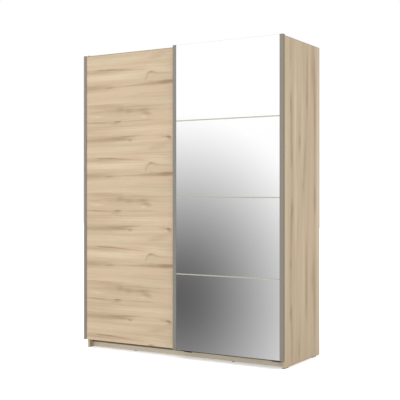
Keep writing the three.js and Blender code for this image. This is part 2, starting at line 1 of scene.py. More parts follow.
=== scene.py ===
"""The looks of a sliding door wardrobe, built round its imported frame.

Units are metres. The doors face -Y. The left door runs in the rear plane, behind the mirrored right door.
"""
import json
import math

import bmesh
import bpy
from mathutils import Matrix, Vector

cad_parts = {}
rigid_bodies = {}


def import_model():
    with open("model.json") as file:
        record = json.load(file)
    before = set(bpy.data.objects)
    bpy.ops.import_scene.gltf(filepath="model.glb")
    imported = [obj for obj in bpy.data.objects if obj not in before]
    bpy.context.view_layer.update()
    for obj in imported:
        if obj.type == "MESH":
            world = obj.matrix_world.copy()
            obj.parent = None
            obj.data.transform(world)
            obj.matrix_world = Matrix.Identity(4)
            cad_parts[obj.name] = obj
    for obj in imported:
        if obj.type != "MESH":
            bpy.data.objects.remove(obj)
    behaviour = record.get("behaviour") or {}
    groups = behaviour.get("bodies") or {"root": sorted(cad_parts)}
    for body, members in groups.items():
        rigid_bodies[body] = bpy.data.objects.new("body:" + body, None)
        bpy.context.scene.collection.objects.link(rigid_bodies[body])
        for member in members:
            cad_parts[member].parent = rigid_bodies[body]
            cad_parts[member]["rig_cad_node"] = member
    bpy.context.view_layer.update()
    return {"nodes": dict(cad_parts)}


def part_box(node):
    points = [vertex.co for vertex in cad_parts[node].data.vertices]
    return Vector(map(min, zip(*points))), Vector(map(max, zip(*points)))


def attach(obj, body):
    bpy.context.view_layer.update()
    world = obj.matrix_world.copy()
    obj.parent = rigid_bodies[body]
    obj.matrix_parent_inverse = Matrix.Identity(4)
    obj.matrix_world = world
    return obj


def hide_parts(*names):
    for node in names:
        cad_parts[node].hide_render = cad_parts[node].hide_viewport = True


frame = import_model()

scene = bpy.context.scene

MM = 0.001
WHITE = (1.0, 1.0, 1.0, 1.0)
NODES = frame["nodes"]
DOORS = ("left_door", "right_door")
ENDS = ("left", "right")

CAMERA_PLACE = (2.961, -4.798, 1.039)
CAMERA_HEADING = 30.216  # degrees, from looking along +Y towards -X
CAMERA_LENS = 76.04
CAMERA_SENSOR = 36.0
CAMERA_SHIFT = (-0.0506, -0.011)

MIRRORED_STRENGTH = 1.11
FILL_STRENGTH = 1.25
FRONT_LIGHT = (-0.12, -0.20, 0.08)  # how much more light comes along each axis
DIM_PATCH_AZIMUTH = 33.1  # degrees from -Y towards -X
DIM_PATCH_ELEVATION = -6.93
DIM_PATCH_WIDTH = 10.43
DIM_PATCH_HEIGHT = 12.6
DIM_PATCH_DEPTH = 0.862
DIM_PATCH_FALL = 0.656
LOWER_WORLD = 0.803  # what the world falls to below the horizon
LOWER_WORLD_FROM = -14.04
LOWER_WORLD_TO = 11.11

KEY_PLACE = (-2.6, -4.2, 3.2)
KEY_AIM = (0.0, 0.0, 1.0)
KEY_SIZE = 3.0
KEY_POWER = 50.0
FLOOR_SIZE = 40.0
FLOOR_GLOW = 0.3

DECOR_REPEAT = 0.596  # the printed decor starts again at this distance across its grain

# Sizes of the fittings.
STEEL = 2.5 * MM
BEND = 4.0 * MM  # to the middle of a bent strip
LEG_BELOW_AXLE = 8.0 * MM
SCREW_RADIUS = 4.0 * MM
SMALL_SCREW_RADIUS = 3.0 * MM
HANGER_SCREW_ACROSS = 24.0 * MM
HANGER_SCREW_LOW = 14.0 * MM
HANGER_SCREW_HIGH = 46.0 * MM
GUIDE_SCREW_ACROSS = 11.0 * MM
GUIDE_SCREW_DROP = 14.0 * MM
SHOE_LENGTH = 60.0 * MM
SHOE_WIDTH = 14.0 * MM
SHOE_DEPTH = 4.5 * MM
SHOE_OVERHANG = 6.0 * MM  # to the left of the guide's middle
RIVET_DOME = 1.6 * MM
TREAD_RADIUS = 12.0 * MM
HUB_RADIUS = 8.0 * MM
RACE_RADIUS = 6.6 * MM
WHEEL_BORE = 3.15 * MM
CHEEK_RECESS = 0.8 * MM
RIBS = 8
TRACK_FLOOR = 2.0 * MM
TRACK_SCREW_PITCH = 0.35
TRACK_SCREW_ASIDE = 12.0 * MM  # from the middle of a channel towards the front
SOCKET_PLATE = 3.0 * MM
SOCKET_SCREW_INSET = 4.2 * MM
CAM_RADIUS = 7.5 * MM
CAM_INSET = 34.0 * MM
CAM_FRONT_INSET = 110.0 * MM
CAM_REAR_INSET = 68.0 * MM
PIN_RADIUS = 2.45 * MM
PIN_REACH = 9.0 * MM
PIN_ROW_INSET = 64.0 * MM
PIN_DROP = 3.0 * MM
NAIL_RADIUS = 2.2 * MM
NAIL_RISE = 0.45 * MM
NAIL_PITCH = 0.15
NAIL_INSET = 7.0 * MM
PLUG_DEPTH = 4.0 * MM
PLUG_SUNK = 0.4 * MM
PLUG_SIDES = (5.1 * MM, 9.9 * MM)  # from the profile's outer side
PLUG_INSET = 3.1 * MM
ARRIS = 0.8 * MM


def srgb(code):
    """A linear colour from a hexadecimal display colour."""
    channels = [int(code[i:i + 2], 16) / 255 for i in (0, 2, 4)]
    return [((c + 0.055) / 1.055) ** 2.4 if c > 0.04045 else c / 12.92 for c in channels] + [1.0]


# ---- Node helpers ----

class Nodes:
    """Short calls that add nodes to a tree. A value is a number, a colour or another node's output."""

    def __init__(self, tree):
        self.tree = tree

    def add(self, kind, inputs=None, **settings):
        made = self.tree.nodes.new(kind)
        for key, value in settings.items():
            setattr(made, key, value)
        for key, value in (inputs or {}).items():
            self.feed(made.inputs[key], value)
        return made

    def feed(self, socket, value):
        if isinstance(value, bpy.types.NodeSocket):
            self.tree.links.new(value, socket)
        else:
            socket.default_value = value

    def math(self, operation, *values):
        inputs = dict(enumerate(values))
        return self.add("ShaderNodeMath", inputs, operation=operation).outputs[0]

    def combine(self, x, y, z):
        return self.add("ShaderNodeCombineXYZ", {0: x, 1: y, 2: z}).outputs[0]

    def separate(self, vector):
        return self.add("ShaderNodeSeparateXYZ", {0: vector}).outputs

    def scaled(self, vector, scale):
        inputs = {0: vector, 1: scale}
        return self.add("ShaderNodeVectorMath", inputs, operation="MULTIPLY").outputs[0]

    def length(self, vector):
        return self.add("ShaderNodeVectorMath", {0: vector}, operation="LENGTH").outputs["Value"]

    def noise(self, vector, scale=1.0, detail=2.0, roughness=0.5):
        inputs = {"Vector": vector, "Scale": scale, "Detail": detail, "Roughness": roughness}
        return self.add("ShaderNodeTexNoise", inputs).outputs["Fac"]

    def span(self, value, low, high, to_low=0.0, to_high=1.0, smooth=True):
        inputs = {0: value, 1: low, 2: high, 3: to_low, 4: to_high}
        kind = "SMOOTHSTEP" if smooth else "LINEAR"
        return self.add("ShaderNodeMapRange", inputs, interpolation_type=kind).outputs[0]

    def mix(self, factor, first, second, blend="MIX"):
        inputs = {0: factor, 6: first, 7: second}
        return self.add("ShaderNodeMix", inputs, data_type="RGBA", blend_type=blend).outputs[2]

    def background(self, colour, strength):
        return self.add("ShaderNodeBackground", {"Color": colour, "Strength": strength}).outputs[0]

    def mixed_shader(self, factor, first, second):
        return self.add("ShaderNodeMixShader", {0: factor, 1: first, 2: second}).outputs[0]

    def ramp(self, value, stops):
        made = self.add("ShaderNodeValToRGB", {0: value})
        elements = made.color_ramp.elements
        while len(elements) < len(stops):
            elements.new(0.5)
        for element, (position, colour) in zip(elements, stops):
            element.position = position
            element.color = colour
        return made.outputs["Color"]


class Material(Nodes):
    """A new material with one Principled surface."""

    def __init__(self, name, **surface):
        self.material = bpy.data.materials.new(name)
        self.material.use_nodes = True
        super().__init__(self.material.node_tree)
        self.surface = self.tree.nodes["Principled BSDF"]
        self.place = self.add("ShaderNodeTexCoord").outputs["Object"]
        for key, value in surface.items():
            self.set(key.replace("_", " ").title(), value)

    def set(self, key, value):
        self.feed(self.surface.inputs[key], value)

    def bump(self, height, distance, strength=1.0):
        inputs = {"Height": height, "Distance": distance, "Strength": strength}
        self.set("Normal", self.add("ShaderNodeBump", inputs).outputs["Normal"])


# ---- Oak decor ----

# Marks of the printed decor: (along the grain, across it, half length, half height, tilt, skew, darkening).
# The skew sharpens a mark's upper edge and lets its lower one fade. A pale mark darkens by less than nought.
DOOR_MARKS = [
    (-0.700, 1.880, 0.26, 0.026, 0.00, 0.2, 0.13),
    (-0.625, 1.886, 0.06, 0.007, -0.06, 0.2, 0.24),
    (-0.545, 1.884, 0.09, 0.008, 0.00, 0.2, 0.24),
    (-0.440, 1.878, 0.26, 0.008, -0.05, 0.3, 0.26),
    (-0.540, 1.872, 0.20, 0.020, 0.00, 0.5, 0.12),
    (-0.320, 1.913, 0.30, 0.007, 0.00, 0.0, 0.14),
    (-0.160, 1.950, 0.12, 0.034, 0.20, 0.0, 0.10),
    (-0.110, 1.834, 0.15, 0.007, -0.02, 0.2, 0.18),
    (-0.204, 1.844, 0.034, 0.014, 0.0, 0.3, 0.18),
    (-0.222, 1.832, 0.040, 0.024, 0.5, 0.0, 0.18),
    (-0.243, 1.808, 0.022, 0.024, 0.8, 0.0, 0.12),
    (-0.186, 1.832, 0.060, 0.024, -0.1, 0.0, 0.14),
    (-0.075, 1.778, 0.110, 0.026, 0.00, 0.3, 0.32),
    (-0.160, 1.774, 0.26, 0.024, 0.03, 0.3, 0.24),
    (-0.360, 1.768, 0.26, 0.009, 0.02, 0.2, 0.18),
    (-0.680, 1.774, 0.30, 0.030, 0.00, 0.4, 0.20),
    (-0.545, 1.762, 0.060, 0.012, 0.02, 0.0, 0.16),
    (-0.620, 1.652, 0.36, 0.010, 0.00, 0.7, 0.17),
    (-0.400, 1.616, 0.46, 0.070, 0.00, 0.2, 0.14),
    (-0.455, 1.612, 0.055, 0.022, 0.10, 0.0, 0.13),
    (-0.385, 1.600, 0.045, 0.030, 0.00, 0.0, 0.08),
    (-0.262, 1.596, 0.075, 0.046, 0.00, 0.0, 0.13),
    (-0.235, 1.570, 0.060, 0.022, -0.10, 0.2, 0.22),
    (-0.700, 1.595, 0.14, 0.016, 0.00, 0.0, 0.09),
    (-0.476, 1.532, 0.048, 0.011, 0.04, 0.4, 0.46),
    (-0.640, 1.531, 0.22, 0.008, 0.00, 0.4, 0.26),
    (-0.270, 1.535, 0.26, 0.006, 0.02, 0.2, 0.16),
    (-0.500, 1.515, 0.070, 0.014, 0.00, 0.0, 0.16),
    (-0.640, 1.420, 0.34, 0.030, 0.02, 0.5, 0.28),
    (-0.430, 1.432, 0.19, 0.008, 0.05, 0.5, 0.28),
    (-0.420, 1.415, 0.13, 0.018, 0.00, 0.0, 0.17),
    (-0.375, 1.405, 0.026, 0.014, -0.10, 0.0, 0.26),
    (-0.064, 1.411, 0.034, 0.024, -0.25, 0.2, 0.52),
    (-0.100, 1.420, 0.060, 0.016, -0.15, 0.0, 0.20),
    (-0.500, 1.832, 0.40, 0.036, 0.00, 0.0, -0.09),
    (-0.170, 1.878, 0.18, 0.030, -0.08, 0.0, -0.12),
    (-0.420, 1.945, 0.26, 0.026, 0.00, 0.0, -0.10),
    (-0.420, 1.715, 0.50, 0.035, 0.00, 0.0, -0.05),
    (-0.400, 1.640, 0.09, 0.008, 0.00, 0.0, -0.10),
    (-0.650, 1.573, 0.09, 0.014, 0.00, 0.0, -0.12),
    (-0.265, 1.553, 0.035, 0.008, 0.00, 0.0, -0.16),
    (-0.280, 1.476, 0.46, 0.034, 0.02, 0.0, -0.14),
    (-0.150, 1.450, 0.24, 0.024, 0.06, 0.0, -0.10),
]
SIDE_MARKS = [
    (1.600, -0.150, 0.13, 0.026, 0.00, 0.0, 0.22),
    (1.440, -0.142, 0.36, 0.028, 0.00, 0.1, 0.26),
    (1.270, -0.134, 0.10, 0.022, 0.04, 0.0, 0.18),
    (0.950, -0.130, 0.09, 0.022, 0.04, 0.0, 0.26),
    (0.880, -0.145, 0.20, 0.028, 0.00, 0.0, 0.18),
    (0.700, -0.150, 0.26, 0.034, 0.00, 0.0, 0.14),
    (0.620, -0.156, 0.05, 0.018, 0.00, 0.0, 0.16),
    (0.480, -0.150, 0.30, 0.032, 0.00, 0.0, 0.14),
    (0.325, -0.150, 0.08, 0.024, 0.02, 0.0, 0.24),
    (0.180, -0.136, 0.30, 0.028, 0.00, 0.0, 0.24),
    (1.920, -0.155, 0.20, 0.030, 0.00, 0.0, 0.18),
    (1.365, -0.027, 0.090, 0.022, 0.02, 0.0, 0.28),
    (1.480, -0.018, 0.26, 0.026, 0.00, 0.0, 0.16),
    (1.098, 0.020, 0.050, 0.020, 0.10, 0.0, 0.20),
    (1.160, 0.038, 0.26, 0.032, 0.04, 0.0, 0.16),
    (0.860, -0.040, 0.30, 0.026, 0.00, 0.0, 0.14),
    (0.080, -0.036, 0.12, 0.026, -0.04, 0.0, 0.26),
    (0.190, -0.014, 0.20, 0.026, 0.00, 0.0, 0.14),
    (1.780, 0.088, 0.40, 0.026, 0.00, 0.1, 0.22),
    (1.640, 0.088, 0.14, 0.020, 0.00, 0.1, 0.12),
    (1.320, 0.060, 0.26, 0.030, 0.03, 0.0, 0.14),
    (0.560, 0.076, 0.36, 0.022, 0.00, -0.1, 0.24),
    (0.360, 0.080, 0.20, 0.022, 0.00, -0.1, 0.14),
    (1.560, 0.206, 0.44, 0.026, 0.00, 0.2, 0.28),
    (1.010, 0.208, 0.13, 0.024, 0.00, 0.1, 0.24),
    (1.060, 0.200, 0.40, 0.028, 0.00, 0.1, 0.16),
    (0.320, 0.202, 0.50, 0.026, 0.00, 0.2, 0.26),
    (0.560, 0.190, 0.36, 0.040, 0.00, 0.1, 0.18),
    (0.500, 0.160, 0.14, 0.032, 0.04, 0.0, 0.12),
    (1.860, 0.178, 0.30, 0.050, 0.00, 0.0, 0.20),
    (1.500, -0.084, 0.50, 0.030, 0.02, 0.0, -0.22),
    (0.960, -0.080, 0.40, 0.026, 0.00, 0.0, -0.16),
    (0.330, -0.085, 0.40, 0.024, 0.00, 0.0, -0.10),
    (1.400, 0.012, 0.60, 0.026, 0.00, 0.0, -0.14),
    (0.600, 0.030, 0.60, 0.026, 0.00, 0.0, -0.14),
    (1.750, 0.128, 0.40, 0.018, 0.00, 0.0, -0.12),
    (1.050, 0.256, 1.80, 0.032, 0.00, 0.0, -0.26),
    (1.000, -0.212, 1.60, 0.036, 0.00, 0.0, -0.16),
]
DOOR_SWELLINGS = [
    (-0.205, 1.822, 0.075, 0.050, 0.016),
    (-0.240, 1.575, 0.110, 0.050, 0.012),
    (-0.062, 1.405, 0.060, 0.040, 0.010),
    (-0.490, 1.520, 0.090, 0.030, 0.006),
]
SIDE_SWELLINGS = [
    (1.100, 0.018, 0.12, 0.035, 0.010),
    (1.360, -0.028, 0.12, 0.030, 0.006),
    (0.080, -0.040, 0.14, 0.040, 0.010),
]
OAK_TONES = [(0.0, "7b664b"), (0.3, "927f64"), (0.52, "a7947b"), (0.75, "b4a48c"), (1.0, "c0b29c")]
# Painted shade: the uprights' copy of the door decor is made a little darker and yellower.
SIDE_PAINTED_SHADE = (0.985, 0.98, 0.95, 1.0)
PLINTH_PAINTED_LIGHT = (1.27, 1.46, 1.70, 1.0)  # painted light: the plinth's oak is made paler and greyer than the other boards' to lift the shade it lies in under the doors
STRAY = 17.0  # how far along its grain the print may start on a board without marks
# A dark band along the boards' tops: partly the edge band, partly painted shade. It is deeper on the doors.
EDGE_BAND_AND_SHADE = "857b69"
EDGE_BAND_AND_SHADE_HEIGHT = 3.0 * MM
DOOR_BAND_AND_SHADE_HEIGHT = 5.5 * MM


def wrapped(paint, value, repeat):
    """A distance across the grain, taken to the nearest repeat of a print that repeats."""
    return paint.math("WRAP", value, repeat / 2, -repeat / 2) if repeat else value


def spindle(paint, along, across, centre, half_sizes, repeat, tilt=0.0, skew=0.0):
    """One in the middle of a soft spindle along the grain, falling to nought at its edge."""
    run = paint.math("SUBTRACT", along, centre[0])
    offset = paint.math("SUBTRACT", across, centre[1])
    offset = wrapped(paint, paint.math("MULTIPLY_ADD", run, -tilt, offset), repeat)
    if skew:
        gain = paint.math("MULTIPLY_ADD", paint.math("SIGN", offset), skew, 1.0)
        offset = paint.math("MULTIPLY", offset, gain)
    half_length, half_height = half_sizes
    reach = paint.scaled(paint.combine(run, offset, 0.0), (1 / half_length, 1 / half_height, 0.0))
    return paint.span(paint.length(reach), 0.0, 1.0, 1.0, 0.0)


def print_point(paint, along, across, through, repeat):
    """A point of the print, in a space where a print that repeats has no seam."""
    if not repeat:
        return paint.combine(along, across, through)
    turn = paint.math("MULTIPLY", across, 2 * math.pi / repeat)
    radius = repeat / (2 * math.pi)
    return paint.combine(
        along,
        paint.math("MULTIPLY", paint.math("COSINE", turn), radius),
        paint.math("MULTIPLY", paint.math("SINE", turn), radius),
    )


def flowing(paint, along, across, here, swellings, repeat):
    """How far across the grain a point lies, once the print has bent round its knots and swayed."""
    flow = across
    for centre_along, centre_across, half_length, half_height, rise in swellings:
        centre = (centre_along, centre_across)
        lift = spindle(paint, along, across, centre, (half_length, half_height), repeat)
        flow = paint.math("MULTIPLY_ADD", lift, -rise, flow)
    sway = paint.noise(paint.scaled(here, (2.2, 14.0, 14.0)), detail=3.0)
    return paint.math("MULTIPLY_ADD", paint.math("SUBTRACT", sway, 0.5), 0.016, flow)


def marked(paint, tone, along, flow, uneven, marks, repeat):
    """A tone with the print's marks laid over it. The dark ones are uneven, the pale ones even."""
    for centre_along, centre_across, half_length, half_height, tilt, skew, depth in marks:
        centre = (centre_along, centre_across)
        mark = spindle(paint, along, flow, centre, (half_length, half_height), repeat, tilt, skew)
        if depth > 0:
            mark = paint.math("MULTIPLY", mark, uneven)
        tone = paint.math("MULTIPLY_ADD", mark, -depth, tone)
    return tone


def oak_colour(paint, tone, here, painted_light_wash):
    """The decor's colour at a tone, with a slow change of hue and an even wash over all of it, which paints
    light on the plinth and shade on the uprights.
    """
    colour = paint.ramp(tone, [(position, srgb(code)) for position, code in OAK_TONES])
    hue = paint.noise(paint.scaled(here, (2.0, 12.0, 12.0)), detail=1.0)
    tint = paint.ramp(hue, [(0.3, srgb("fffcf9")), (0.7, srgb("fcfdfb"))])
    colour = paint.mix(1.0, colour, tint, "MULTIPLY")
    return paint.mix(1.0, colour, painted_light_wash, "MULTIPLY") if painted_light_wash else colour


def oak(name, along, across, through, marks=(), swellings=(), repeat=None, band_and_shade_from=None, painted_light_wash=None):
    """Matt oak decor on chipboard. along, across and through name the board's axes as its grain sees them."""
    paint = Material(name)
    axes = dict(zip("XYZ", paint.separate(paint.place)))
    u, v, w = axes[along], axes[across], axes[through]
    if not marks:
        stray = paint.add("ShaderNodeObjectInfo").outputs["Random"]
        u = paint.math("MULTIPLY_ADD", stray, STRAY, u)
    here = print_point(paint, u, v, w, repeat)
    flow = flowing(paint, u, v, here, swellings, repeat)
    printed = print_point(paint, u, flow, w, repeat)

    bands = paint.noise(paint.scaled(printed, (0.8, 22.0, 22.0)), detail=3.0, roughness=0.5)
    lines = paint.noise(paint.scaled(printed, (1.6, 120.0, 120.0)), detail=3.0, roughness=0.65)
    fibres = paint.noise(paint.scaled(printed, (16.0, 800.0, 800.0)), detail=2.0, roughness=0.6)
    pores = paint.noise(paint.scaled(printed, (50.0, 1500.0, 1500.0)), detail=1.0)
    streaks = paint.noise(paint.scaled(printed, (5.0, 160.0, 160.0)), detail=3.0, roughness=0.6)

    tone = paint.span(bands, 0.25, 0.75, 0.46, 0.66, smooth=False)
    tone = paint.math("ADD", tone, paint.span(lines, 0.25, 0.75, -0.10, 0.10, smooth=False))
    tone = paint.math("ADD", tone, paint.span(fibres, 0.2, 0.8, -0.08, 0.08, smooth=False))
    dots = paint.span(pores, 0.62, 0.74)
    tone = paint.math("MULTIPLY_ADD", dots, -0.12, tone)
    uneven = paint.span(streaks, 0.3, 0.7, 0.6, 1.3, smooth=False)
    tone = marked(paint, tone, u, flow, uneven, marks, repeat)

    colour = oak_colour(paint, tone, here, painted_light_wash)
    # The top band is partly edge band and partly painted shade.
    if band_and_shade_from:
        edge = paint.span(axes["Z"], band_and_shade_from, band_and_shade_from + 0.2 * MM)
        colour = paint.mix(edge, colour, srgb(EDGE_BAND_AND_SHADE))
    paint.set("Base Color", colour)
    paint.set("Roughness", paint.span(lines, 0.2, 0.8, 0.46, 0.58, smooth=False))
    relief = paint.math("SUBTRACT", paint.math("MULTIPLY", fibres, 0.5), dots)
    paint.bump(relief, 0.05 * MM, 0.6)
    return paint.material


# ---- Other materials ----

def mirror_glass():
    """Silvered glass that shows the studio, with green polished edges and a ground arris along the top."""
    paint = Material("mirror_glass", metallic=1.0)
    facing = paint.separate(paint.add("ShaderNodeNewGeometry").outputs["True Normal"])[1]
    edge = paint.span(paint.math("ABSOLUTE", facing), 0.75, 0.95, 1.0, 0.0)
    haze = paint.noise(paint.scaled(paint.place, (3.0, 3.0, 3.0)), detail=4.0, roughness=0.65)
    silver = paint.mix(haze, srgb("f5f5f5"), srgb("f8f8f8"))
    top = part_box("mirror_pane_4")[1].z
    arris = paint.span(paint.separate(paint.place)[2], top - ARRIS - 0.1 * MM, top - ARRIS)
    silver = paint.mix(arris, silver, srgb("8a918e"))
    paint.set("Base Color", paint.mix(edge, silver, srgb("5f8a78")))
    paint.set("Roughness", paint.mix(edge, (0.0, 0.0, 0.0, 1.0), (0.18, 0.18, 0.18, 1.0)))
    return paint.material


def satin_aluminium(name, front, side):
    """Anodised section with fine lines from the die. Its sides are painted a darker, browner colour than its
    front: painted shade for the way they face.
    """
    paint = Material(name, metallic=0.75)
    turned = paint.separate(paint.add("ShaderNodeNewGeometry").outputs["True Normal"])[0]
    painted_side_shade = paint.span(paint.math("ABSOLUTE", turned), 0.3, 0.8)
    lines = paint.noise(paint.scaled(paint.place, (2400.0, 2400.0, 6.0)), detail=2.0, roughness=0.7)
    cloud = paint.noise(paint.scaled(paint.place, (9.0, 9.0, 1.5)), detail=3.0)
    # Faces that point sideways take the side colour: painted shade, not a different finish.
    base = paint.mix(painted_side_shade, srgb(front), srgb(side))
    shade = paint.mix(cloud, (0.95, 0.95, 0.95, 1.0), (1.05, 1.05, 1.05, 1.0))
    paint.set("Base Color", paint.mix(1.0, base, shade, "MULTIPLY"))
    paint.set("Roughness", paint.span(lines, 0.3, 0.7, 0.38, 0.50, smooth=False))
    paint.bump(lines, 0.02 * MM, 0.5)
    return paint.material


def mill_aluminium():
    """Bare extrusion of the top track, with drawn lines along X and dull patches."""
    paint = Material("mill_aluminium", metallic=1.0)
    lines = paint.noise(paint.scaled(paint.place, (4.0, 2200.0, 2200.0)), detail=3.0, roughness=0.7)
    dull = paint.noise(paint.scaled(paint.place, (5.0, 40.0, 40.0)), detail=4.0)
    paint.set("Base Color", paint.mix(dull, srgb("c2c3c4"), srgb("d6d7d8")))
    paint.set("Roughness", paint.math("MULTIPLY_ADD", dull, 0.12, paint.span(lines, 0.3, 0.7, 0.22, 0.34)))
    paint.bump(lines, 0.02 * MM, 0.6)
    return paint.material


def zinc_steel():
    """Zinc plate: bright, slightly blue, with crystals of uneven gloss."""
    paint = Material("zinc_steel", metallic=1.0)
    crystals = paint.add("ShaderNodeTexVoronoi", {"Vector": paint.place, "Scale": 520.0})
    spangle = paint.separate(crystals.outputs["Color"])[0]
    wear = paint.noise(paint.place, scale=90.0, detail=4.0)
    paint.set("Base Color", paint.mix(spangle, srgb("b9bfc4"), srgb("d0d4d6")))
    paint.set("Roughness", paint.math("MULTIPLY_ADD", wear, 0.12, paint.span(spangle, 0.0, 1.0, 0.22, 0.34)))
    paint.bump(wear, 0.03 * MM, 0.5)
    return paint.material


def chrome():
    """Polished plate on the clothes rail, with a slight orange peel and faint rub marks along it."""
    paint = Material("chrome", metallic=1.0)
    peel = paint.noise(paint.place, scale=320.0, detail=1.0)
    rubs = paint.noise(paint.scaled(paint.place, (8.0, 600.0, 600.0)), detail=3.0, roughness=0.7)
    paint.set("Base Color", paint.mix(rubs, srgb("dfe2e4"), srgb("eceef0")))
    paint.set("Roughness", paint.span(rubs, 0.45, 0.8, 0.05, 0.16))
    paint.bump(peel, 0.01 * MM, 0.4)
    return paint.material


def moulded_plastic(name, dark, light):
    """Matt moulded plastic with a fine spark-eroded grain."""
    paint = Material(name)
    grain = paint.noise(paint.place, scale=2600.0, detail=2.0, roughness=0.6)
    flow = paint.noise(paint.place, scale=60.0, detail=3.0)
    paint.set("Base Color", paint.mix(flow, srgb(dark), srgb(light)))
    paint.set("Roughness", paint.span(grain, 0.3, 0.7, 0.42, 0.62, smooth=False))
    paint.bump(grain, 0.04 * MM, 0.6)
    return paint.material


def back_sheet():
    """Hardboard, lacquered white inside and left brown and fibrous behind."""
    paint = Material("back_sheet")
    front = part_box("back_panel_left")[0].y
    depth = paint.separate(paint.place)[1]
    behind = paint.span(depth, front + 0.3 * MM, front + 0.6 * MM)
    fibres = paint.noise(paint.place, scale=420.0, detail=5.0, roughness=0.7)
    clumps = paint.noise(paint.place, scale=28.0, detail=4.0, roughness=0.6)
    brown = paint.mix(paint.span(fibres, 0.3, 0.7), srgb("5d4530"), srgb("8e6f52"))
    brown = paint.mix(paint.span(clumps, 0.3, 0.7, 0.0, 0.5), brown, srgb("6c5139"))
    white = paint.mix(clumps, srgb("e6e3dc"), srgb("efece6"))
    paint.set("Base Color", paint.mix(behind, white, brown))
    paint.set("Roughness", paint.span(behind, 0.0, 1.0, 0.4, 0.85))
    paint.bump(paint.math("MULTIPLY", fibres, behind), 0.3 * MM, 0.6)
    return paint.material


# ---- Node surfaces and edges ----

SHARP_ANGLE = math.radians(40)  # an edge that turns more than this is rounded off
FLAT_ANGLE = math.radians(0.5)  # faces that turn less than this are one


def mesh_group(name):
    """A geometry node group that takes a mesh and gives one."""
    group = bpy.data.node_groups.new(name, "GeometryNodeTree")
    for way in ("INPUT", "OUTPUT"):
        group.interface.new_socket("Geometry", in_out=way, socket_type="NodeSocketGeometry")
    return group


def cleaning_group():
    """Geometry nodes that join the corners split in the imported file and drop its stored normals."""
    group = mesh_group("clean_mesh")
    nodes = Nodes(group)
    start = nodes.add("NodeGroupInput").outputs[0]
    joined = nodes.add("GeometryNodeMergeByDistance", {"Geometry": start, "Distance": 0.01 * MM})
    bare = nodes.add("GeometryNodeSetMeshNormal", {0: joined.outputs[0]}, mode="SHARPNESS")
    nodes.add("NodeGroupOutput", {0: bare.outputs[0]})
    return group


def smoothing_group():
    """Geometry nodes that shade smooth, apart from the sharp edges."""
    group = mesh_group("smooth_by_angle")
    nodes = Nodes(group)
    start = nodes.add("NodeGroupInput").outputs[0]
    angle = nodes.add("GeometryNodeInputMeshEdgeAngle").outputs[0]
    sharp = nodes.math("GREATER_THAN", angle, SHARP_ANGLE)
    inputs = {"Mesh": start, "Edge Sharpness": sharp}
    smooth = nodes.add("GeometryNodeSetMeshNormal", inputs, mode="SHARPNESS")
    nodes.add("NodeGroupOutput", {0: smooth.outputs[0]})
    return group


CLEANING = cleaning_group()
SMOOTHING = smoothing_group()


def soften(obj, width, segments=2):
    """Rounds an object's sharp edges and smooths what curves, by modifiers alone."""
    if "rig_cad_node" in obj:
        obj.modifiers.new("clean", "NODES").node_group = CLEANING
        flat = obj.modifiers.new("flatten", "DECIMATE")
        flat.decimate_type = "DISSOLVE"
        flat.angle_limit = FLAT_ANGLE
    bevel = obj.modifiers.new("bevel", "BEVEL")
    bevel.width = width
    bevel.segments = segments
    bevel.limit_method = "ANGLE"
    bevel.angle_limit = SHARP_ANGLE
    bevel.use_clamp_overlap = False
    obj.modifiers.new("smooth", "NODES").node_group = SMOOTHING
    weigh = obj.modifiers.new("weigh", "WEIGHTED_NORMAL")
    weigh.keep_sharp = True


def dress(names, material, width):
    """Gives CAD nodes a material and rounds their edges to a width."""
    for name in names:
        obj = NODES[name]
        obj.data.materials.clear()
        obj.data.materials.append(material)
        soften(obj, width)


def named(*parts):
    """CAD nodes whose names hold any of the parts."""
    return [name for name in sorted(NODES) if any(part in name for part in parts)]


def door_oak(board):
    """The decor of one door board, with a dark band along its top that is partly edge band and partly painted
    shade.
    """
    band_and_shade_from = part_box(board)[1].z - DOOR_BAND_AND_SHADE_HEIGHT
    name = board.replace("board", "oak")
    return oak(name, "X", "Z", "Y", DOOR_MARKS, DOOR_SWELLINGS, DECOR_REPEAT, band_and_shade_from)


def upright_oak():
    """The decor of the side panels and the partition, with a dark band along the panels' tops, partly edge
    band and partly painted shade, and a wash of painted shade over all of it.
    """
    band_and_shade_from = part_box("side_panel_left")[1].z - EDGE_BAND_AND_SHADE_HEIGHT
    return oak("upright_oak", "Z", "Y", "X", SIDE_MARKS, SIDE_SWELLINGS, None, band_and_shade_from, SIDE_PAINTED_SHADE)


ZINC = zinc_steel()
CHROME = chrome()
BLACK = moulded_plastic("black_plastic", "1f1f22", "2c2c30")
# Dark brown for the bottom track: partly its plastic, partly painted shade for the dark line it shows under
# the doors.
BROWN_AND_SHADE = moulded_plastic("brown_plastic", "5c4b36", "685640")
GREY = moulded_plastic("grey_plastic", "6f6f72", "7f7f82")
PROFILE = satin_aluminium("profile_aluminium", "8b877e", "8a7f70")
DIVIDER = satin_aluminium("divider_aluminium", "b9b3a5", "b9b3a5")


